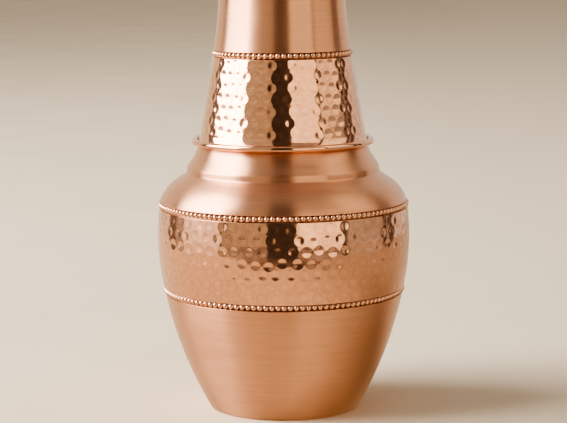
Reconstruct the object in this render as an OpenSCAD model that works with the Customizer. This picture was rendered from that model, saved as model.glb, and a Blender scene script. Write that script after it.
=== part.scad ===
// Copper bedside water jug, with its drinking tumbler turned over the neck as a lid.
// Millimetres, +Z up. The origin is the centre of the base, on the surface the jug stands on.
//
// Every wall is spun sheet. Its outline is the path of its outer surface from the bottom up,
// as [radius, height] points, and the sheet's thickness lies on the inner side of that path.
// At each seam the lower piece is stepped in and slides up inside the piece above it.
// The step leaves a shallow channel round the outside, and a beaded strip is brazed into it.
// Only the neck differs: its tube stands inside an upright stub of the shoulder.

/* [Jug] */
// Diameter of the belly at its widest
belly_d = 126; // [124:0.5:128]
// Height of the widest part of the belly
belly_z = 87.5; // [86:0.5:89]
// Diameter of the base
base_d = 75; // [72:1:78]
// Height of the beaded seam below the belly band
lower_seam_z = 60; // [57:1:62]
// Height of the beaded seam above the belly band
upper_seam_z = 103; // [102:0.25:104]
// Diameter of the upright step at the foot of the collar
collar_step_d = 96; // [94:0.5:98]

/* [Neck] */
// Outside diameter of the neck
neck_d = 52.4; // [48:0.4:54]
// Height of the neck's mouth
neck_mouth_z = 180; // [172:1:186]

/* [Tumbler] */
// Height of the tumbler's lip where it stands on the collar
lip_z = 132.6; // [132:0.2:133.4]
// Diameter across the tumbler's rolled lip
lip_d = 90.8; // [90:0.2:91.6]
// Diameter of the tumbler's tapered wall, carried down to the height of the lip
tumbler_mouth_d = 84; // [83.4:0.2:84.6]
// Lean of the tumbler's wall from upright, in degrees
tumbler_taper = 9.68; // [9.2:0.04:10]
// Height of the tumbler's beaded seam
tumbler_seam_z = 178; // [176:1:182]
// Height of the upturned tumbler's base, which is the top of the whole
tumbler_top_z = 232; // [226:1:236]

/* [Sheet and wires] */
// Thickness of the copper sheet
sheet = 0.6; // [0.5:0.05:0.8]
// Diameter of one pearl of the beaded strips
pearl_d = 2.5; // [2.2:0.1:2.6]
// Distance from one pearl to the next
pearl_pitch = 2.9; // [2.8:0.05:3.2]
// Diameter of the wires that stiffen the rolled lips
lip_wire_d = 1.8; // [1:0.1:1.8]

/* [Hidden] */

$fn = 180;
copper = "#c8825c";
bright_copper = "#dc9a70";
braze_silver = "#cfc3ae";

// Seams. A lapped piece lies one sheet and one braze film inside the piece above it.
braze_film = 0.2;
lap_depth = sheet + braze_film;
channel_half = pearl_d / 2 + 0.2;
step_height = 0.3;
lap = 4;
film_clearance = 0.02;
film_setback = 0.4;

// Fillet of braze on the inner sheet's top edge: its height, and its share of the sheet's thickness.
braze_fillet = 0.9;
braze_toe_share = 0.7;

// Rolled lips: the radius of the curl and the angles of its end and of the flare that leads in.
roll_r = 1.6;
roll_end_angle = 135;
flare_angle = 35;
tumbler_clearance = 0.35;

// Beaded strips: how far a pearl's centre and the strip's front and back lie below the wall's surface.
pearl_sink = 0.55;
strip_sink = 0.2;
strip_gap = 0.08;
strip_back_sink = lap_depth - strip_gap;

// Base: the floor is raised inside a contact ring, and the edge is rounded.
base_recess = 1.2;
base_edge_r = 1.5;
contact_ring_w = 5;
recess_slope_w = 2;

// Radii of the long arcs of the wall.
bowl_arc_r = 197;
band_arc_r = 122.8;
dome_arc_r = 18.75;
cup_arc_r = 309;

// Dome of the shoulder: the angles at which it leaves the seam and turns into a straight slope.
dome_start_angle = 12.4;
dome_end_angle = 56.3;

// Collar: an upright step, a slightly hollow cone, a land inside the tumbler, and a shelf.
crease_r = 1.2;
step_edge_r = 2.5;
collar_step_top_z = 121.6;
collar_mid_z = 127.2;
collar_mid_inset = 3.75;
collar_mid_r = 20;
land_start_z = lip_z + 2.7;
land_end_z = lip_z + 6.9;
land_edge_r = 2.5;
neck_r = neck_d / 2;
neck_root_z = land_end_z + 4.5;
neck_root_r = 3;
neck_start_z = neck_root_z + 1.5;
stub_r = neck_r + braze_film + sheet;
stub_top_z = neck_start_z + 7.5;
mouth_roll_reach = 1.7;

// Tumbler: the straight taper turns into a hollow arc just below the seam.
taper_end_z = tumbler_seam_z - 4;
taper_start_z = taper_end_z - 30;
cup_edge_r = 3;
cup_ring_w = 4.5;
cup_recess = 1;

// Geometry of points and paths.
function unit(v) = v / norm(v);
function left_normal(p, q) = let (d = unit(q - p)) [-d[1], d[0]];
function heights(from, to, steps) = [for (i = [0:steps]) from + (to - from) * i / steps];
function arc(centre, r, start, end, steps) =
    [for (a = heights(start, end, steps)) centre + r * [cos(a), sin(a)]];
function reversed(list) = [for (i = [len(list) - 1:-1:0]) list[i]];
function without_first(list) = [for (i = [1:len(list) - 1]) list[i]];

// Point i of a path, moved sideways to the left by a distance.
function moved_point(path, i, distance) =
    let (
        last = len(path) - 1,
        before = max(i, 1),
        after = min(i, last - 1),
        n0 = left_normal(path[before - 1], path[before]),
        n1 = left_normal(path[after], path[after + 1])
    )
    path[i] + distance * (n0 + n1) / (1 + n0 * n1);

function moved_path(path, distance) = [for (i = [0:len(path) - 1]) moved_point(path, i, distance)];

// Arc that rounds the corner between two straight stretches.
function fillet(before, corner, after, r, steps) =
    let (
        u = unit(before - corner),
        v = unit(after - corner),
        half = acos(u * v) / 2,
        centre = corner + unit(u + v) * r / sin(half),
        from = corner + u * r / tan(half) - centre,
        to = corner + v * r / tan(half) - centre,
        start = atan2(from[1], from[0]),
        turn = atan2(to[1], to[0]) - start,
        sweep = turn > 180 ? turn - 360 : turn < -180 ? turn + 360 : turn
    )
    arc(centre, r, start, start + sweep, steps);

// Path through [radius, height, rounding] corners. The first and last stay sharp.
function rounded(corners) =
    let (last = len(corners) - 1, at = [for (c = corners) [c[0], c[1]]])
    [for (i = [0:last])
        each i == 0 || i == last || corners[i][2] == 0
            ? [at[i]]
            : fillet(at[i - 1], at[i], at[i + 1], corners[i][2], 8)];

// Centre of the arc that bulges outward and upward through two points.
function arc_centre(p, q, r) =
    let (chord = q - p, half = norm(chord) / 2)
    (p + q) / 2 + sqrt(r * r - half * half) * left_normal(p, q);

// Radius of each wall at a height, at a distance inside its outer surface.
function bulge_r(centre, r, z) = centre[0] + sqrt(r * r - pow(z - centre[1], 2));
band_centre = [belly_d / 2 - band_arc_r, belly_z];
function band_r(z, inside = 0) = bulge_r(band_centre, band_arc_r - inside, z);

bowl_centre = arc_centre([base_d / 2, 0], [band_r(lower_seam_z), lower_seam_z], bowl_arc_r);
function bowl_r(z, inside = 0) = bulge_r(bowl_centre, bowl_arc_r - inside, z);

dome_centre = [band_r(upper_seam_z), upper_seam_z]
    - dome_arc_r * [cos(dome_start_angle), sin(dome_start_angle)];
function dome_r(z, inside = 0) = bulge_r(dome_centre, dome_arc_r - inside, z);

function skirt_r(z, inside = 0) =
    tumbler_mouth_d / 2 - tan(tumbler_taper) * (z - lip_z) - inside / cos(tumbler_taper);

cup_centre = [skirt_r(taper_end_z), taper_end_z]
    + cup_arc_r * [cos(tumbler_taper), sin(tumbler_taper)];
function cup_r(z, inside = 0) = cup_centre[0] - sqrt(pow(cup_arc_r + inside, 2) - pow(z - cup_centre[1], 2));

// Flange of a lower piece inside the upper piece, whose radius function is wall.
function flange_path(wall, seam_z) =
    [for (z = heights(seam_z - channel_half, seam_z + channel_half + lap, 6)) [wall(z, lap_depth), z]];

// Rolled lip at the bottom of a wall, as the wall's outer surface from the curl's end upward.
function flare_r(roll_centre, wall_in, lean) =
    let (turn = cos(flare_angle - lean))
    ((roll_centre[0] - wall_in) * cos(lean) - roll_r * turn) / (1 - turn);
function rolled_lip(roll_centre, wall_in, lean) =
    let (
        r = flare_r(roll_centre, wall_in, lean),
        flare_centre = roll_centre + (r - roll_r) * [cos(flare_angle), sin(flare_angle)]
    )
    concat(
        arc(roll_centre, roll_r - sheet, 360 + roll_end_angle, 180 + flare_angle, 28),
        without_first(arc(flare_centre, r - sheet, 180 + flare_angle, 180 + lean, 8))
    );

// A wall of sheet turned about the upright axis.
module spun(path, thickness = sheet) {
    rotate_extrude() polygon(concat(path, reversed(moved_path(path, thickness))));
}

module wire_ring(centre, d) {
    rotate_extrude() translate(centre) circle(d = d, $fn = 32);
}

// One pearl, lying outward along +X, cut flat at the back and leaning with the wall.
module pearl(lean) {
    back = strip_back_sink - pearl_sink - film_clearance;
    rotate([0, -lean, 0]) difference() {
        sphere(d = pearl_d, $fn = 24);
        translate([-back - pearl_d, -pearl_d, -pearl_d]) cube([pearl_d, 2 * pearl_d, 2 * pearl_d]);
    }
}

// Beaded wire: pearls along a strip that fills the channel. The strip's foot is cut to the channel's
// step, and its top edge to the end of the sheet above.
module beaded_wire(wall, seam_z) {
    ring_r = wall(seam_z, pearl_sink);
    count = round(2 * PI * ring_r / pearl_pitch);
    low = seam_z - channel_half + strip_gap;
    high = seam_z + channel_half - strip_gap;
    lean = atan((wall(low, 0) - wall(high, 0)) / (high - low));
    front_low = low - step_height * (1 - strip_sink / lap_depth);
    front_high = high - strip_sink * sin(lean);
    back_high = high - strip_back_sink * sin(lean);
    rotate_extrude() polygon(concat(
        [for (z = heights(front_low, front_high, 4)) [wall(z, strip_sink), z]],
        [for (z = heights(back_high, low, 4)) [wall(z, strip_back_sink), z]]
    ));
    for (i = [0:count - 1])
        rotate([0, 0, i * 360 / count]) translate([ring_r, 0, seam_z]) pearl(lean);
}

// Braze of a lapped seam: the film between the two sheets and a fillet on the flange's top edge.
module seam_braze(wall, seam_z, flange) {
    start_z = seam_z + channel_half + film_setback;
    end_z = seam_z + channel_half + lap;
    last = len(flange) - 1;
    inner_edge = moved_point(flange, last, sheet);
    toe = flange[last] + braze_toe_share * (inner_edge - flange[last]) + [0, film_clearance];
    rotate_extrude() polygon(concat(
        [for (z = heights(start_z, end_z + braze_fillet, 5)) [wall(z, sheet + film_clearance), z]],
        [toe],
        [for (z = heights(end_z + film_clearance, start_z, 4)) [wall(z, lap_depth - film_clearance), z]]
    ));
}

band_wall = function (z, inside) band_r(z, inside);
dome_wall = function (z, inside) dome_r(z, inside);
cup_wall = function (z, inside) cup_r(z, inside);

// Bowl: floor, contact ring, rounded edge and the wall up to the flange.
edge_reach = sqrt(pow(bowl_arc_r - base_edge_r, 2) - pow(base_edge_r - bowl_centre[1], 2));
edge_centre = [bowl_centre[0] + edge_reach, base_edge_r];
edge_angle = atan2(base_edge_r - bowl_centre[1], edge_reach);
edge_top_z = edge_centre[1] + base_edge_r * sin(edge_angle);
ring_in_r = edge_centre[0] - contact_ring_w;
bowl_path = concat(
    [[0, base_recess], [ring_in_r - recess_slope_w, base_recess], [ring_in_r, 0]],
    arc(edge_centre, base_edge_r, -90, edge_angle, 6),
    without_first([
        for (z = heights(edge_top_z, lower_seam_z - channel_half - step_height, 28)) [bowl_r(z), z]
    ]),
    flange_path(band_wall, lower_seam_z)
);

band_path = concat(
    [for (z = heights(lower_seam_z + channel_half, upper_seam_z - channel_half - step_height, 20)) [band_r(z), z]],
    flange_path(dome_wall, upper_seam_z)
);

// Shoulder: the dome, its straight slope, the collar and the stub that holds the neck.
dome_end = dome_centre + dome_arc_r * [cos(dome_end_angle), sin(dome_end_angle)];
collar_step_r = collar_step_d / 2;
crease_z = dome_end[1] + (dome_end[0] - collar_step_r) / tan(dome_end_angle);
function land_r(z) = skirt_r(z, sheet + tumbler_clearance);
shoulder_path = concat(
    [for (z = heights(upper_seam_z + channel_half, dome_end[1], 14)) [dome_r(z), z]],
    without_first(rounded([
        [dome_end[0], dome_end[1], 0],
        [collar_step_r, crease_z, crease_r],
        [collar_step_r, collar_step_top_z, step_edge_r],
        [collar_step_r - collar_mid_inset, collar_mid_z, collar_mid_r],
        [land_r(land_start_z), land_start_z, step_edge_r],
        [land_r(land_end_z), land_end_z, land_edge_r],
        [stub_r, neck_root_z, neck_root_r],
        [stub_r, stub_top_z, 0]
    ]))
);

// Neck: a tube inside the stub, flared and rolled outward at its mouth.
mouth_roll = [neck_r + mouth_roll_reach, neck_mouth_z - roll_r];
function upside_down(path) = [for (p = reversed(path)) [p[0], 2 * mouth_roll[1] - p[1]]];
neck_path = concat(
    [[neck_r, neck_start_z]],
    upside_down(rolled_lip(mouth_roll, neck_r - sheet, 0))
);

// Tumbler, mouth down: the skirt with its lip, and the cup that closes it.
lip_roll = [lip_d / 2 - roll_r, lip_z + roll_r];
skirt_path = concat(
    rolled_lip(lip_roll, skirt_r(lip_roll[1], sheet), tumbler_taper),
    [for (z = heights(taper_start_z, tumbler_seam_z - channel_half - step_height, 3))
        [z < taper_end_z ? skirt_r(z) : cup_r(z), z]],
    flange_path(cup_wall, tumbler_seam_z)
);
cup_ring_r = cup_r(tumbler_top_z) - cup_edge_r - cup_ring_w;
cup_straight_z = tumbler_top_z - 2 * cup_edge_r;
cup_path = concat(
    [for (z = heights(tumbler_seam_z + channel_half, cup_straight_z, 24)) [cup_r(z), z]],
    without_first(rounded([
        [cup_r(cup_straight_z), cup_straight_z, 0],
        [cup_r(tumbler_top_z), tumbler_top_z, cup_edge_r],
        [cup_ring_r, tumbler_top_z, 1],
        [cup_ring_r - recess_slope_w, tumbler_top_z - cup_recess, 1],
        [0, tumbler_top_z - cup_recess, 0]
    ]))
);

module lower_bowl() {
    color(copper) spun(bowl_path);
}

module belly_band() {
    color(bright_copper) spun(band_path);
}

module shoulder() {
    color(copper) spun(shoulder_path);
}

module neck() {
    color(copper) spun(neck_path);
}

module mouth_wire() {
    color(copper) wire_ring(mouth_roll, lip_wire_d);
}

module lower_bead_wire() {
    color(bright_copper) beaded_wire(band_wall, lower_seam_z);
}

module upper_bead_wire() {
    color(bright_copper) beaded_wire(dome_wall, upper_seam_z);
}

module lower_seam_braze() {
    color(braze_silver) seam_braze(band_wall, lower_seam_z, flange_path(band_wall, lower_seam_z));
}

module upper_seam_braze() {
    color(braze_silver) seam_braze(dome_wall, upper_seam_z, flange_path(dome_wall, upper_seam_z));
}

module neck_seam_braze() {
    film_in = neck_r + film_clearance;
    film_out = stub_r - sheet - film_clearance;
    film_start_z = neck_start_z + 1;
    toe_z = stub_top_z + film_clearance;
    color(braze_silver) rotate_extrude() polygon([
        [film_in, film_start_z],
        [film_out, film_start_z],
        [film_out, toe_z],
        [film_out + braze_toe_share * sheet, toe_z],
        [film_in, toe_z + braze_fillet]
    ]);
}

module tumbler_skirt() {
    color(bright_copper) spun(skirt_path);
}

module tumbler_cup() {
    color(copper) spun(cup_path);
}

module tumbler_bead_wire() {
    color(bright_copper) beaded_wire(cup_wall, tumbler_seam_z);
}

module tumbler_lip_wire() {
    color(copper) wire_ring(lip_roll, lip_wire_d);
}

module tumbler_seam_braze() {
    color(braze_silver) seam_braze(cup_wall, tumbler_seam_z, flange_path(cup_wall, tumbler_seam_z));
}

lower_bowl();
belly_band();
shoulder();
neck();
mouth_wire();
lower_bead_wire();
upper_bead_wire();
lower_seam_braze();
upper_seam_braze();
neck_seam_braze();
tumbler_skirt();
tumbler_cup();
tumbler_bead_wire();
tumbler_lip_wire();
tumbler_seam_braze();
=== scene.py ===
import math

import bmesh
import bpy
import numpy as np
from mathutils import Euler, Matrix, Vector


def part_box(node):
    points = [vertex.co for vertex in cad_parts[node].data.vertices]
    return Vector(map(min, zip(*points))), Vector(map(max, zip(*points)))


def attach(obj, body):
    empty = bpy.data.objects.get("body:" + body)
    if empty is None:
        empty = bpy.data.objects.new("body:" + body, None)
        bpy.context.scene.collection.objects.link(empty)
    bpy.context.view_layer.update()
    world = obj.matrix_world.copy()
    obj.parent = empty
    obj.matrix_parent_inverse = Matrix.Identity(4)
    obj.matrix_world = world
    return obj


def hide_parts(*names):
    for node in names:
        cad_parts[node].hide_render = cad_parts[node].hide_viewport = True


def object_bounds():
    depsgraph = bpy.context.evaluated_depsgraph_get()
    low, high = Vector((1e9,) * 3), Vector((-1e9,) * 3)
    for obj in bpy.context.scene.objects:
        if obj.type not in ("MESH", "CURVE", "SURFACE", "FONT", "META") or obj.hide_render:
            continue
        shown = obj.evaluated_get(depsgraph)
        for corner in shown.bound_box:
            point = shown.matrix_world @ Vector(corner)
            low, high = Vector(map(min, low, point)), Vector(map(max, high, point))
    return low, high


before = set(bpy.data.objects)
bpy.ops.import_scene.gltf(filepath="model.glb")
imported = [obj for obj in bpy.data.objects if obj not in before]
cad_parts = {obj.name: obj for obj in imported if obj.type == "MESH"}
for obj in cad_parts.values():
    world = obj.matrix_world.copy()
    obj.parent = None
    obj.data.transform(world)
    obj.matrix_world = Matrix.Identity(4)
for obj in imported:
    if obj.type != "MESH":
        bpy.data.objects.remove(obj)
cad_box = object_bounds()

MM = 0.001

# ---------------------------------------------------------------- outlines of the turned pieces

SEAM_TOLERANCE = 2e-7
CORNER_TURN = math.radians(24)
CORNER_RADIUS = 0.18 * MM
CORNER_STEPS = 3
CORNER_ROOM = 0.45
TURN_STEP = math.radians(9)
LONG_BESIDE_NEXT = 2.5


def turned_outline(node):
    """The outline that a CAD node was turned from, as ordered (radius, height) points.

    A turned node has a seam of vertices on the half plane y = 0, and the seam's edges join them.
    The outline is a closed loop, or runs from the axis back to the axis."""
    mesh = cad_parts[node].data
    place = {}
    for v in mesh.vertices:
        if abs(v.co.y) < SEAM_TOLERANCE and v.co.x > -SEAM_TOLERANCE:
            place[v.index] = (round(v.co.x, 6), round(v.co.z, 6))
    beside = {}
    for edge in mesh.edges:
        a, b = (place.get(i) for i in edge.vertices)
        if a is not None and b is not None and a != b:
            beside.setdefault(a, set()).add(b)
            beside.setdefault(b, set()).add(a)
    ends = sorted(p for p in beside if len(beside[p]) == 1)
    walk = [ends[0] if ends else max(beside)]
    seen = set(walk)
    while True:
        onward = sorted(p for p in beside[walk[-1]] if p not in seen)
        if not onward:
            break
        walk.append(onward[-1])
        seen.add(onward[-1])
    if ends:
        walk = [(0.0, walk[0][1])] + walk + [(0.0, walk[-1][1])]
    points = np.array(walk)
    r, z = points.T
    area = np.sum(r * np.roll(z, -1) - np.roll(r, -1) * z)
    if area < 0:
        points = points[::-1]
    return points, not ends


def unit(v):
    return v / np.linalg.norm(v)


def turn_between(a, b):
    """Signed angle from direction a to direction b."""
    return math.atan2(a[0] * b[1] - a[1] * b[0], float(np.dot(a, b)))


def eased_corners(points, closed):
    """Every sharp corner becomes a small arc, as the edge of real sheet is."""
    n = len(points)
    out = []
    for i, p in enumerate(points):
        if not closed and i in (0, n - 1):
            out.append(p)
            continue
        before = points[i - 1] - p
        after = points[(i + 1) % n] - p
        turn = turn_between(-before, after)
        if abs(turn) < CORNER_TURN:
            out.append(p)
            continue
        room = CORNER_ROOM * min(np.linalg.norm(before), np.linalg.norm(after))
        reach = min(CORNER_RADIUS * math.tan(abs(turn) / 2), room)
        start = p + unit(before) * reach
        end = p + unit(after) * reach
        for k in range(CORNER_STEPS + 1):
            t = k / CORNER_STEPS
            out.append((1 - t) ** 2 * start + 2 * t * (1 - t) * p + t * t * end)
    return np.array(out)


def with_guards(points, closed):
    """Long stretches get a point near each end, so that a neighbouring curve doesn't bend them."""
    n = len(points)
    out = []
    for i in range(n if closed else n - 1):
        p, q = points[i], points[(i + 1) % n]
        length = np.linalg.norm(q - p)
        last = np.linalg.norm(p - points[i - 1]) if closed or i > 0 else length
        following = points[(i + 2) % n]
        coming = np.linalg.norm(following - q) if closed or i < n - 2 else length
        out.append(p)
        if length > LONG_BESIDE_NEXT * last:
            out.append(p + (q - p) * last / length)
        if length > LONG_BESIDE_NEXT * coming:
            out.append(q - (q - p) * coming / length)
    if not closed:
        out.append(points[-1])
    return np.array(out)


def smooth_outline(node, step):
    """The node's outline as a smooth curve. step(p, q) is the longest stretch allowed from p to q."""
    points, closed = turned_outline(node)
    points = with_guards(eased_corners(points, closed), closed)
    n = len(points)
    chords = [points[(i + 1) % n] - points[i] for i in range(n)]
    tangents = []
    for i in range(n):
        a, b = chords[i - 1], chords[i]
        if not closed and i == 0:
            a = b
        if not closed and i == n - 1:
            b = a
        la, lb = np.linalg.norm(a), np.linalg.norm(b)
        tangents.append(unit(a / la * lb + b / lb * la))
    out = []
    for i in range(n if closed else n - 1):
        p, q = points[i], points[(i + 1) % n]
        t0, t1 = tangents[i], tangents[(i + 1) % n]
        length = np.linalg.norm(q - p)
        pieces = max(1, math.ceil(length / step(p, q)), math.ceil(abs(turn_between(t0, t1)) / TURN_STEP))
        for k in range(pieces):
            t = k / pieces
            hermite = (
                (2 * t**3 - 3 * t**2 + 1) * p
                + (t**3 - 2 * t**2 + t) * length * t0
                + (3 * t**2 - 2 * t**3) * q
                + (t**3 - t**2) * length * t1
            )
            out.append(hermite)
    if not closed:
        out.append(points[-1])
    return np.array(out), closed


def outline_normals(points, closed):
    """Outward unit normals of an outline that runs anticlockwise."""
    if closed:
        along = np.roll(points, -1, 0) - np.roll(points, 1, 0)
    else:
        along = np.gradient(points, axis=0)
    along /= np.linalg.norm(along, axis=1, keepdims=True)
    return np.stack([along[:, 1], -along[:, 0]], 1)


# ---------------------------------------------------------------- meshes

POLE_TOLERANCE = 1e-7


def grid_mesh(name, grid, closed):
    """A mesh of quads round the axis. grid is (outline points, segments, 3).

    An open outline starts and ends on the axis."""
    rows, segments = grid.shape[:2]
    index = np.arange(rows * segments).reshape(rows, segments)
    lower = index if closed else index[:-1]
    upper = np.roll(index, -1, 0) if closed else index[1:]
    quads = np.stack([lower, np.roll(lower, -1, 1), np.roll(upper, -1, 1), upper], -1).reshape(-1, 4)
    mesh = bpy.data.meshes.new(name)
    mesh.from_pydata(grid.reshape(-1, 3).tolist(), [], quads.tolist())
    if not closed:
        close_poles(mesh)
    mesh.polygons.foreach_set("use_smooth", np.ones(len(mesh.polygons), bool))
    mesh.update()
    piece = bpy.data.objects.new(name, mesh)
    bpy.context.scene.collection.objects.link(piece)
    return piece


def close_poles(mesh):
    """Rings of no size, at the two ends of an open outline, become single vertices."""
    bm = bmesh.new()
    bm.from_mesh(mesh)
    poles = [v for v in bm.verts if v.co.xy.length < POLE_TOLERANCE]
    bmesh.ops.remove_doubles(bm, verts=poles, dist=POLE_TOLERANCE)
    bm.to_mesh(mesh)
    bm.free()


def turned_piece(name, node, body, material, step, segments, shape=None):
    """A smooth turned piece in place of a CAD node.

    shape(angles, outline, normals) may dent the wall, and says how close each point is to a mark's edge."""
    outline, closed = smooth_outline(node, step)
    normals = outline_normals(outline, closed)
    angles = np.arange(segments) * 2 * math.pi / segments
    outward, ridge = (0, None) if shape is None else shape(angles, outline, normals)
    r = (outline[:, :1] + normals[:, :1] * outward) * np.ones(segments)
    z = (outline[:, 1:] + normals[:, 1:] * outward) * np.ones(segments)
    grid = np.stack([r * np.cos(angles), r * np.sin(angles), z], -1)
    piece = grid_mesh(name, grid, closed)
    # How close the wall is to a mark's edge, which the hammered material darkens with painted shade.
    if ridge is not None:
        piece.data.attributes.new("ridge", "FLOAT", "POINT").data.foreach_set("value", ridge.ravel())
    piece.data.materials.append(material)
    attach(piece, body)
    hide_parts(node)


# ---------------------------------------------------------------- hammer marks

# RIM_AT, RIM_WIDTH and EDGE_WIDTH are shares of a mark's radius. The spreads and ROW_REACH are shares
# of the marks' pitch. A wall faces out or in where its normal's radial part is beyond FACING.
RIM_AT = 1.08
RIM_WIDTH = 0.11
RIM_HEIGHT = 0.014 * MM
EDGE_WIDTH = 0.24
SIZE_RANGE = (0.92, 1.08)
DEPTH_RANGE = (0.75, 1.15)
UP_SPREAD = 0.055
ROUND_SPREAD = 0.05
ROW_SPREAD = 0.06
ROW_REACH = 1.2
WAVES = 7
WAVE_TURNS = (2, 9)
WAVE_START_MAX = 6.3
WAVE_LENGTHS = (20, 90)
WAVE_HEIGHT = 0.012 * MM
FADE = 0.8 * MM
FACING = 0.6


class Hammering:
    """Rows of round marks on a band of wall, staggered and uneven, as a hand hammer leaves them."""

    def __init__(self, low, high, rows, count, radius, depth, seed):
        draw = np.random.default_rng(seed)
        self.low, self.high = low, high
        self.row_pitch = (high - low) / rows
        self.count = count
        self.rows = rows
        self.radius = radius * draw.uniform(*SIZE_RANGE, (rows, count))
        self.depth = depth * draw.uniform(*DEPTH_RANGE, (rows, count))
        self.shift_z = draw.normal(0, UP_SPREAD * self.row_pitch, (rows, count))
        self.shift_a = draw.normal(0, ROUND_SPREAD, (rows, count))
        self.row_phase = draw.normal(0, ROW_SPREAD, rows)
        self.waves = []
        for _ in range(WAVES):
            turns = int(draw.integers(*WAVE_TURNS))
            start = draw.uniform(0, WAVE_START_MAX)
            length = draw.uniform(*WAVE_LENGTHS) * MM
            self.waves.append((turns, start, length))

    def dent(self, angles, radii, heights):
        """How far the wall is pressed in at each height (rows) and angle (columns), in metres,
        and how close each point is to the edge of a mark, from 0 to 1."""
        a = angles[None, :] / (2 * math.pi) * self.count
        z = heights[:, None]
        r = radii[:, None]
        pressed = np.zeros((len(heights), len(angles)))
        raised = np.zeros_like(pressed)
        ridge = np.zeros_like(pressed)
        pitch = 2 * math.pi * r / self.count
        for row in range(self.rows):
            centre_z = self.low + (row + 0.5) * self.row_pitch
            near = np.abs(heights - centre_z) < ROW_REACH * self.row_pitch
            if not near.any():
                continue
            phase = 0.5 * (row % 2) + self.row_phase[row]
            nearest = np.round(a - phase).astype(int)
            for step in (-1, 0, 1):
                k = (nearest + step) % self.count
                da = (a - phase - nearest - step - self.shift_a[row][k]) * pitch[near]
                dz = z[near] - centre_z - self.shift_z[row][k]
                q = np.hypot(da, dz) / self.radius[row][k]
                pressed[near] = np.maximum(pressed[near], mark_profile(q) * self.depth[row][k])
                raised[near] = np.maximum(raised[near], rim_profile(q) * RIM_HEIGHT)
                ridge[near] = np.maximum(ridge[near], edge_profile(q))
        return pressed - raised, ridge

    def unevenness(self, angles, heights):
        """The slow waviness that hammering leaves between the marks."""
        out = np.zeros((len(heights), len(angles)))
        for turns, start, length in self.waves:
            out += np.sin(turns * angles[None, :] + start + heights[:, None] / length * 2 * math.pi)
        return out * WAVE_HEIGHT


def mark_profile(q):
    """Depth across a round mark, 1 at its centre: a shallow bowl with its steepest ring at 0.7."""
    return np.clip(1 - q * q, 0, None) ** 1.5


def rim_profile(q):
    """Height of the metal that a mark pushes up round itself, 1 at its crest."""
    return np.exp(-(((q - RIM_AT) / RIM_WIDTH) ** 2))


def edge_profile(q):
    """How close a point is to a mark's edge, 1 on the edge."""
    return np.exp(-(((q - 1) / EDGE_WIDTH) ** 2))


def hammered(hammering, both_sides):
    """A shape for turned_piece that presses the marks into the wall between the hammering's heights."""

    def shape(angles, outline, normals):
        outward = np.zeros((len(outline), len(angles)))
        ridge = np.zeros_like(outward)
        outside = normals[:, 0] > FACING
        inside = normals[:, 0] < -FACING
        heights = outline[:, 1]
        above = np.clip((heights - hammering.low) / FADE, 0, 1)
        below = np.clip((hammering.high - heights) / FADE, 0, 1)
        fade = above * below
        for side, sign in ((outside, -1), (inside, 1)):
            if sign == 1 and not both_sides:
                continue
            rows = np.nonzero(side & (fade > 0))[0]
            pressed, edges = hammering.dent(angles, outline[rows, 0], heights[rows])
            wavy = hammering.unevenness(angles, heights[rows])
            outward[rows] = sign * (pressed + wavy) * fade[rows, None]
            ridge[rows] = edges * fade[rows, None]
        return outward, ridge

    return shape


# ---------------------------------------------------------------- beaded strips

# Sinks are depths below the wall's surface. A CAD pearl's vertices beyond CROWN, a share of its
# radius, tell the height of its middle. TIP_WIDTH is what is left of a pearl's foot between two
# pearls, as a share of its widest.
PEARL_RADIUS = 1.33 * MM
PEARL_PITCH = 2.9 * MM
PEARL_SINK = 0.63 * MM
STRIP_SINK = 0.5 * MM
STRIP_DEPTH = 0.2 * MM
CHANNEL_HALF = 1.45 * MM
STRIP_GAP = 0.08 * MM
PEARL_STEPS = 13
CAP_STEPS = 13
TIP_WIDTH = 0.12
CROWN = 0.9
RECESS = 0.3 * MM
LAST_ANGLE = 1.4
PEARL_SIZES = (0.97, 1.02)
PEARL_SLIP = 0.03 * MM


def outer_radius(node, z):
    """The largest radius of a turned node at a height."""
    points, _ = turned_outline(node)
    p, q = points, np.roll(points, -1, 0)
    crossing = (p[:, 1] - z) * (q[:, 1] - z) < 0
    p, q = p[crossing], q[crossing]
    return float(np.max(p[:, 0] + (q[:, 0] - p[:, 0]) * (z - p[:, 1]) / (q[:, 1] - p[:, 1])))


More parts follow.
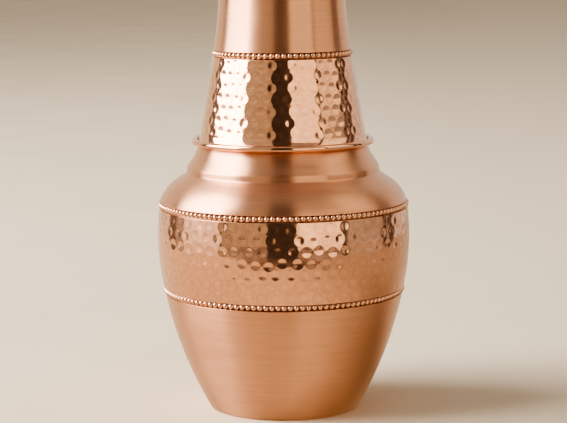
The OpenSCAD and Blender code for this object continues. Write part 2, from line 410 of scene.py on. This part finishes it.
def beaded_strip(name, node, lapped_piece, body, material, recess_material, seed):
    """A strip of half-round pearls, lying on the lapped piece in the channel of a seam.

    Each ring across the strip runs along its front, over the pearl, and back along its flat back.
    The strip round the pearls' feet is darker than their crowns: tarnish in the recesses and painted shade
    between the pearls."""
    low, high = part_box(node)
    ring_r = high.x - PEARL_RADIUS
    crown_r = ring_r + CROWN * PEARL_RADIUS
    crowns = [v.co.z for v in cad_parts[node].data.vertices if v.co.xy.length > crown_r]
    seam_z = sum(crowns) / len(crowns)
    reach = CHANNEL_HALF / 2
    narrowing = outer_radius(lapped_piece, seam_z - reach) - outer_radius(lapped_piece, seam_z + reach)
    lean = math.atan(narrowing / (2 * reach))
    count = round(2 * math.pi * ring_r / PEARL_PITCH)
    draw = np.random.default_rng(seed)
    rise = PEARL_SINK - STRIP_SINK
    foot_radius = math.sqrt(PEARL_RADIUS**2 - rise**2)
    half_pitch = math.pi * ring_r / count
    along = [foot_radius * math.sin(a) for a in np.linspace(-LAST_ANGLE, LAST_ANGLE, PEARL_STEPS)]
    along.append(half_pitch)
    top = (CHANNEL_HALF - STRIP_GAP) / math.cos(lean)
    bottom = (seam_z - low.z) / math.cos(lean) - STRIP_GAP
    rings = []
    for pearl in range(count):
        size = draw.uniform(*PEARL_SIZES)
        slip = draw.normal(0, PEARL_SLIP)
        middle = pearl * 2 * math.pi / count
        for s in along:
            across, out = strip_section(s / size, rise, foot_radius, bottom, top)
            up = across + slip * (np.abs(across) < foot_radius)
            r = ring_r + out * math.cos(lean) - up * math.sin(lean)
            z = seam_z + out * math.sin(lean) + up * math.cos(lean)
            a = middle + s / ring_r
            rings.append(np.stack([r * math.cos(a), r * math.sin(a), z], -1))
    grid = np.transpose(np.array(rings), (1, 0, 2))
    piece = grid_mesh(name, grid, True)
    piece.data.materials.append(material)
    piece.data.materials.append(recess_material)
    # Faces at the strip's foot take the darker material: tarnish and painted shade round the pearls.
    for face in piece.data.polygons:
        outward = (face.center.xy.length - ring_r) * math.cos(lean)
        upward = (face.center.z - seam_z) * math.sin(lean)
        face.material_index = int(outward + upward < RECESS)
    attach(piece, body)
    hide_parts(node)


def strip_section(s, rise, foot_radius, bottom, top):
    """One ring across the strip, a distance s from a pearl's middle: (across, out) from its centre."""
    half_foot = math.sqrt(max(foot_radius**2 - s * s, (TIP_WIDTH * foot_radius) ** 2))
    across = half_foot * np.sin(np.linspace(-math.pi / 2, math.pi / 2, CAP_STEPS))
    out = np.sqrt(np.clip(PEARL_RADIUS**2 - s * s - across**2, rise**2, None))
    back = rise - STRIP_DEPTH
    across = np.concatenate([[-bottom, -bottom], across, [top, top]])
    out = np.concatenate([[back, rise], out, [rise, back]])
    return across, out


# ---------------------------------------------------------------- materials

# SHADE_START and SHADE_END are metres to the right of the jug's axis, where the cloth's painted shadow
# fades in.
LACQUER = 0.45
SATIN_LACQUER_ROUGHNESS = 0.35
POLISH_LACQUER_ROUGHNESS = 0.3
BRUSHING = 0.93
QUARTER_TURN = 0.25
BRUSHED_DEPTH = 0.014 * MM
HAZE_DEPTH = 0.02 * MM
HAZE_RANGE = (0.6, 1.5)
# The strength of the edge colour below is painted shade on the hammer marks' edges.
EDGE_SHADE = 0.34
BRAZE_DEPTH = 0.08 * MM
SHADE_START = 0.02
SHADE_END = 0.22


class Nodes:
    """A small helper that adds nodes to a material and links them."""

    def __init__(self, name):
        self.material = bpy.data.materials.new(name)
        self.material.use_nodes = True
        self.tree = self.material.node_tree
        self.shader = self.tree.nodes["Principled BSDF"]
        self.column = 0

    def add(self, kind, **settings):
        node = self.tree.nodes.new(kind)
        self.column -= 180
        node.location = (self.column, 0)
        for key, value in settings.items():
            setattr(node, key, value)
        return node

    def link(self, source, target):
        self.tree.links.new(source, target)

    def place(self, scale):
        """Object coordinates in metres, stretched by scale along each axis."""
        coordinates = self.add("ShaderNodeTexCoord")
        mapping = self.add("ShaderNodeMapping")
        mapping.inputs["Scale"].default_value = scale
        self.link(coordinates.outputs["Object"], mapping.inputs["Vector"])
        return mapping.outputs["Vector"]

    def noise(self, scale, detail=3.0, roughness=0.55):
        noise = self.add("ShaderNodeTexNoise")
        noise.inputs["Scale"].default_value = 1.0
        noise.inputs["Detail"].default_value = detail
        noise.inputs["Roughness"].default_value = roughness
        self.link(self.place(scale), noise.inputs["Vector"])
        return noise.outputs["Fac"]

    def ranged(self, value, low, high, start=0.3, end=0.7):
        """value from start to end, carried to low to high."""
        span = self.add("ShaderNodeMapRange")
        for socket, number in (("From Min", start), ("From Max", end), ("To Min", low), ("To Max", high)):
            span.inputs[socket].default_value = number
        self.link(value, span.inputs["Value"])
        return span.outputs["Result"]

    def mixed(self, factor, a, b):
        """Colour a to colour b as factor goes from 0 to 1."""
        mix = self.add("ShaderNodeMix", data_type="RGBA")
        self.link(factor, mix.inputs["Factor"])
        for socket, colour in ((mix.inputs["A"], a), (mix.inputs["B"], b)):
            if isinstance(colour, tuple):
                socket.default_value = (*colour, 1)
            else:
                self.link(colour, socket)
        return mix.outputs["Result"]

    def summed(self, *values):
        total = values[0]
        for value in values[1:]:
            add = self.add("ShaderNodeMath", operation="ADD")
            self.link(total, add.inputs[0])
            self.link(value, add.inputs[1])
            total = add.outputs["Value"]
        return total

    def lacquer(self, roughness):
        """The thin clear coat that keeps copperware bright."""
        self.shader.inputs["Coat Weight"].default_value = LACQUER
        self.shader.inputs["Coat Roughness"].default_value = roughness

    def bump(self, height, distance, strength=1.0):
        bump = self.add("ShaderNodeBump")
        bump.inputs["Strength"].default_value = strength
        bump.inputs["Distance"].default_value = distance
        self.link(height, bump.inputs["Height"])
        self.link(bump.outputs["Normal"], self.shader.inputs["Normal"])


def brushed_copper(name, light, dark, roughness):
    """Satin copper brushed round the axis, with fine lines and faint handling marks."""
    n = Nodes(name)
    n.shader.inputs["Metallic"].default_value = 1.0
    n.shader.inputs["Anisotropic"].default_value = BRUSHING
    n.shader.inputs["Anisotropic Rotation"].default_value = QUARTER_TURN
    around = n.add("ShaderNodeTangent", direction_type="RADIAL", axis="Z")
    n.link(around.outputs["Tangent"], n.shader.inputs["Tangent"])
    fine = n.noise((45, 45, 2600), detail=2.0)
    coarse = n.noise((30, 30, 1300), detail=3.0)
    clouds = n.noise((28, 28, 34), detail=4.0)
    worn = n.ranged(n.summed(coarse, clouds), 0, 1, 0.8, 1.25)
    n.link(n.mixed(worn, dark, light), n.shader.inputs["Base Color"])
    n.lacquer(SATIN_LACQUER_ROUGHNESS)
    uneven = n.summed(
        n.ranged(fine, -0.035, 0.035),
        n.ranged(coarse, -0.03, 0.03),
        n.ranged(clouds, roughness - 0.035, roughness + 0.035),
    )
    n.link(uneven, n.shader.inputs["Roughness"])
    n.bump(n.summed(fine, n.ranged(coarse, 0, 0.8, 0, 1)), BRUSHED_DEPTH)
    return n.material


def polished_copper(name, light, dark, roughness, edge=None):
    """Polished copper with a trace of haze.

    With an edge colour, it is darker along the edges of its hammer marks: painted shade that brings out the
    dents."""
    n = Nodes(name)
    n.shader.inputs["Metallic"].default_value = 1.0
    haze = n.noise((110, 110, 110), detail=5.0)
    clouds = n.noise((26, 26, 26), detail=3.0)
    colour = n.mixed(n.ranged(clouds, 0, 1), dark, light)
    if edge:
        ridge = n.add("ShaderNodeAttribute", attribute_name="ridge")
        colour = n.mixed(n.ranged(ridge.outputs["Fac"], 0, EDGE_SHADE, 0, 1), colour, edge)
    n.link(colour, n.shader.inputs["Base Color"])
    low, high = (roughness * share for share in HAZE_RANGE)
    n.link(n.ranged(haze, low, high), n.shader.inputs["Roughness"])
    n.bump(haze, HAZE_DEPTH, 0.5)
    n.lacquer(POLISH_LACQUER_ROUGHNESS)
    return n.material


def silver_braze(name):
    """Cleaned silver braze, pale and slightly grainy."""
    n = Nodes(name)
    n.shader.inputs["Metallic"].default_value = 1.0
    grain = n.noise((900, 900, 900), detail=4.0)
    colour = n.mixed(n.ranged(grain, 0, 1), (0.50, 0.45, 0.38), (0.68, 0.63, 0.55))
    n.link(colour, n.shader.inputs["Base Color"])
    n.link(n.ranged(grain, 0.3, 0.5), n.shader.inputs["Roughness"])
    n.bump(grain, BRAZE_DEPTH)
    return n.material


def matte(name, colour, grain, depth, right_shade):
    """Matte cloth with soft clouds of shade, and a painted shadow of the jug: darker by a factor to the
    right of it.
    """
    n = Nodes(name)
    n.shader.inputs["Roughness"].default_value = 0.9
    n.shader.inputs["Specular IOR Level"].default_value = 0.15
    cloud = n.noise((grain, grain, grain), detail=5.0, roughness=0.6)
    deeper = tuple(c * depth for c in colour)
    lit = n.mixed(n.ranged(cloud, 0, 1), deeper, colour)
    shaded = tuple(c * right_shade for c in deeper)
    across = n.add("ShaderNodeSeparateXYZ")
    n.link(n.place((1, 1, 1)), across.inputs["Vector"])
    rightward = n.ranged(across.outputs["X"], 0, 1, SHADE_START, SHADE_END)
    n.link(n.mixed(rightward, lit, shaded), n.shader.inputs["Base Color"])
    return n.material


# ---------------------------------------------------------------- the jug and the tumbler

satin = brushed_copper("satin_copper", (0.83, 0.44, 0.275), (0.75, 0.385, 0.235), 0.34)
# The hammered copper's edge colour is painted shade along the edges of its hammer marks.
polish = polished_copper(
    "hammered_copper", (0.90, 0.50, 0.325), (0.84, 0.445, 0.28), 0.09, edge=(0.68, 0.34, 0.20)
)
pearl = polished_copper("pearl_copper", (0.88, 0.53, 0.36), (0.78, 0.44, 0.29), 0.12)
# Darker copper round the pearls' feet: tarnish in the recesses and painted shade between the pearls.
recess_tarnish_and_shade = polished_copper("pearl_recess", (0.38, 0.25, 0.19), (0.28, 0.18, 0.135), 0.35)
plain = brushed_copper("plain_copper", (0.86, 0.48, 0.33), (0.76, 0.40, 0.27), 0.34)
wire = polished_copper("wire_copper", (0.80, 0.44, 0.30), (0.70, 0.37, 0.25), 0.3)
braze = silver_braze("silver_braze")

# The marks' heights come from the CAD nodes beside them. MARK_STEP is fine enough to show a mark.
LIP_MARGIN = 3 * MM
BELLY_ROWS = 7
BELLY_COUNT = 58
BELLY_MARK = 2.5 * MM
BELLY_DEPTH = 0.16 * MM
SKIRT_ROWS = 7
SKIRT_COUNT = 44
SKIRT_MARK = 2.4 * MM
SKIRT_DEPTH = 0.14 * MM
MARK_STEP = 0.46 * MM
band_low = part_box("lower_bead_wire")[1].z
band_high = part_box("upper_bead_wire")[0].z
skirt_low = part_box("tumbler_lip_wire")[1].z + LIP_MARGIN
skirt_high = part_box("tumbler_bead_wire")[0].z

belly_marks = Hammering(band_low, band_high, BELLY_ROWS, BELLY_COUNT, BELLY_MARK, BELLY_DEPTH, seed=11)
skirt_marks = Hammering(skirt_low, skirt_high, SKIRT_ROWS, SKIRT_COUNT, SKIRT_MARK, SKIRT_DEPTH, seed=5)


def even(step):
    """The same longest stretch all along an outline."""
    return lambda p, q: step


def finer_outside(low, high, fine, coarse, inner=None):
    """A short stretch on the outer wall between two heights, the inner stretch on the inner wall
    there where one is given, and a coarse stretch elsewhere."""

    def step(p, q):
        if not (low <= (p[1] + q[1]) / 2 <= high) or abs(q[1] - p[1]) < abs(q[0] - p[0]):
            return coarse
        return fine if q[1] > p[1] else inner or coarse

    return step


turned_piece("lower_bowl_wall", "lower_bowl", "jug", satin, even(1.2 * MM), 360)
turned_piece(
    "belly_band_wall", "belly_band", "jug", polish,
    finer_outside(band_low, band_high, MARK_STEP, 3 * MM), 850, hammered(belly_marks, False),
)
turned_piece("shoulder_wall", "shoulder", "jug", satin, even(0.9 * MM), 360)
turned_piece("neck_tube", "neck", "jug", plain, even(1.2 * MM), 240)
turned_piece("mouth_ring", "mouth_wire", "jug", wire, even(0.3 * MM), 180)
for seam in ("lower_seam_braze", "upper_seam_braze", "neck_seam_braze"):
    turned_piece(seam + "_fillet", seam, "jug", braze, even(0.6 * MM), 240)
beaded_strip("lower_pearls", "lower_bead_wire", "lower_bowl", "jug", pearl, recess_tarnish_and_shade, 21)
beaded_strip("upper_pearls", "upper_bead_wire", "belly_band", "jug", pearl, recess_tarnish_and_shade, 22)

turned_piece(
    "tumbler_skirt_wall", "tumbler_skirt", "tumbler", polish,
    finer_outside(skirt_low, skirt_high, MARK_STEP, 2 * MM, 0.9 * MM), 560, hammered(skirt_marks, True),
)
turned_piece("tumbler_cup_wall", "tumbler_cup", "tumbler", satin, even(1.0 * MM), 300)
turned_piece("tumbler_lip_ring", "tumbler_lip_wire", "tumbler", wire, even(0.3 * MM), 240)
turned_piece(
    "tumbler_seam_braze_fillet", "tumbler_seam_braze", "tumbler", braze,
    even(0.6 * MM), 240,
)
beaded_strip(
    "tumbler_pearls", "tumbler_bead_wire", "tumbler_skirt", "tumbler", pearl, recess_tarnish_and_shade, 23,
)

# ---------------------------------------------------------------- studio

# The copper mirrors the studio, so its reflections see a table of their own, which ends a quarter
# of a metre in front of the jug, and curved screens round it that the camera doesn't see.
TABLE_FRONT = -0.32
TABLE_SIDE = 0.55
FLOOR_REACH = 9.0
SCREEN_DISTANCE = 1.15
SCREEN_EYE = 0.085
SCREEN_GRAIN = 5
SCREEN_UNEVENNESS = 0.25
SCREEN_STEPS = 16
SOFT_BOX_DISTANCE = 2.4
ROOM_COLOUR = (1.0, 0.88, 0.76)
ROOM_SCALE = 5.0
ROOM_DIM = 0.42
ROOM_BRIGHT = 0.70

cloth = matte("floor_cloth", (0.86, 0.755, 0.595), 6, 0.93, 0.98)
# Only reflections see this cloth: its darker right side is the jug's painted shadow, and its clouds are
# painted shade.
shaded_mirror_cloth = matte("mirrored_cloth", (0.97, 0.86, 0.70), 34, 0.7, 0.84)


def floor_part(name, left, right, front, back, material, mirrored):
    """A sheet of floor that either only reflections see, or everything but them."""
    corners = [(left, front), (right, front), (right, back), (left, back)]
    mesh = bpy.data.meshes.new(name)
    mesh.from_pydata([(x, y, cad_box[0].z) for x, y in corners], [], [(0, 1, 2, 3)])
    mesh.materials.append(material)
    part = bpy.data.objects.new(name, mesh)
    bpy.context.scene.collection.objects.link(part)
    part.visible_glossy = mirrored
    part.visible_camera = not mirrored
    part.visible_diffuse = not mirrored
    part.visible_shadow = False


floor_part("floor", -FLOOR_REACH, FLOOR_REACH, -FLOOR_REACH, FLOOR_REACH, cloth, False)
floor_part("mirrored_table", -TABLE_SIDE, TABLE_SIDE, TABLE_FRONT, FLOOR_REACH, shaded_mirror_cloth, True)

world = bpy.data.worlds.new("room")
bpy.context.scene.world = world
world.use_nodes = True
room = world.node_tree.nodes["Background"]
room.inputs["Color"].default_value = (*ROOM_COLOUR, 1)
heading = world.node_tree.nodes.new("ShaderNodeTexCoord")
cloudy = world.node_tree.nodes.new("ShaderNodeTexNoise")
cloudy.inputs["Scale"].default_value = ROOM_SCALE
cloudy.inputs["Detail"].default_value = 4.0
strength = world.node_tree.nodes.new("ShaderNodeMapRange")
for socket, number in (("From Min", 0.3), ("From Max", 0.7), ("To Min", ROOM_DIM), ("To Max", ROOM_BRIGHT)):
    strength.inputs[socket].default_value = number
world.node_tree.links.new(heading.outputs["Generated"], cloudy.inputs["Vector"])
world.node_tree.links.new(cloudy.outputs["Fac"], strength.inputs["Value"])
world.node_tree.links.new(strength.outputs["Result"], room.inputs["Strength"])


def screen(
    name, azimuths, elevations, radiance, colour,
    unevenness=SCREEN_UNEVENNESS, distance=SCREEN_DISTANCE, lights=False,
):
    """A curved screen round the jug, between two azimuths and two elevations seen from its belly.

    Azimuth 0 is the camera's side, and positive turns to the right. Only some screens light the scene."""
    low, high = (SCREEN_EYE + distance * math.tan(math.radians(e)) for e in elevations)
    points = []
    for k in range(SCREEN_STEPS + 1):
        a = math.radians(azimuths[0] + (azimuths[1] - azimuths[0]) * k / SCREEN_STEPS)
        x, y = distance * math.sin(a), -distance * math.cos(a)
        points += [(x, y, low), (x, y, high)]
    faces = [(2 * k, 2 * k + 2, 2 * k + 3, 2 * k + 1) for k in range(SCREEN_STEPS)]
    mesh = bpy.data.meshes.new(name)
    mesh.from_pydata(points, [], faces)
    n = Nodes(name)
    n.tree.nodes.remove(n.shader)
    glow = n.add("ShaderNodeEmission")
    glow.inputs["Color"].default_value = (*colour, 1)
    uneven = n.noise((SCREEN_GRAIN, SCREEN_GRAIN, SCREEN_GRAIN), detail=4.0)
    brightness = n.ranged(uneven, radiance * (1 - unevenness), radiance * (1 + unevenness))
    n.link(brightness, glow.inputs["Strength"])
    n.link(glow.outputs["Emission"], n.tree.nodes["Material Output"].inputs["Surface"])
    mesh.materials.append(n.material)
    board = bpy.data.objects.new(name, mesh)
    bpy.context.scene.collection.objects.link(board)
    board.visible_camera = False
    board.visible_diffuse = lights
    board.visible_shadow = False


WHITE = (1.0, 0.97, 0.93)
PEACH = (1.0, 0.9, 0.78)
GOLDEN = (1.0, 0.88, 0.66)
UMBER = (1.0, 0.75, 0.6)
screen(
    "soft_box", (-112, -59), (7, 58), 11.5, WHITE,
    unevenness=0.6, distance=SOFT_BOX_DISTANCE, lights=True,
)
screen("soft_box_skirt", (-100, -58), (-9, 7), 1.6, PEACH, unevenness=0.4, lights=True)
screen("soft_box_edge", (-58.5, -56), (-8, 58), 0.05, UMBER)
screen("left_gap", (-124, -112), (-9, 40), 0.3, UMBER)
screen("room_left", (-56, -15), (-7.5, 40), 0.72, GOLDEN)
screen("reflector", (12, 53), (-7.5, 27), 1.85, GOLDEN)
screen("reflector_edge", (53.5, 57.5), (-9, 50), 0.05, UMBER)
screen("reflector_edge_top", (57.5, 63), (14, 60), 0.05, UMBER)
screen("camera_side", (-15, 12), (-17, 62), 0.12, UMBER)
screen("table_edge", (-57, 57), (-17.2, -13), 0.25, UMBER)
screen("table_rail", (-57, 57), (-8.8, -7.6), 0.1, UMBER)
screen("right_wall", (57.5, 99), (-9, 12), 0.62, PEACH)
screen("right_wall_top", (57.5, 99), (12, 60), 1.5, GOLDEN)
screen("right_gap", (99, 104), (-9, 40), 0.1, UMBER)
screen("right_curtain", (108, 116), (-9, 40), 0.15, UMBER)
screen("left_backdrop", (-180, -124), (-9, 40), 1.05, GOLDEN)
screen("right_backdrop", (116, 180), (-9, 40), 0.9, PEACH)

# ---------------------------------------------------------------- camera

CAMERA_DISTANCE = 0.986
CAMERA_HEIGHT = 0.2363
CAMERA_PITCH = math.radians(7.97)
CAMERA_ROLL = math.radians(0.42)
CAMERA_LENS = 126.06
SENSOR_WIDTH = 36.0
CLIP_END = 50
EXPOSURE = -0.45

camera = bpy.data.cameras.new("camera")
camera.lens = CAMERA_LENS
camera.sensor_width = SENSOR_WIDTH
camera.clip_end = CLIP_END
view = bpy.data.objects.new("camera", camera)
bpy.context.scene.collection.objects.link(view)
view.location = (0, -CAMERA_DISTANCE, CAMERA_HEIGHT)
pitched = Euler((math.pi / 2 - CAMERA_PITCH, 0, 0)).to_matrix()
rolled = Euler((0, 0, -CAMERA_ROLL)).to_matrix()
view.rotation_euler = (pitched @ rolled).to_euler()
bpy.context.scene.camera = view

film = bpy.context.scene.view_settings
film.view_transform = "AgX"
film.look = "AgX - High Contrast"
film.exposure = EXPOSURE
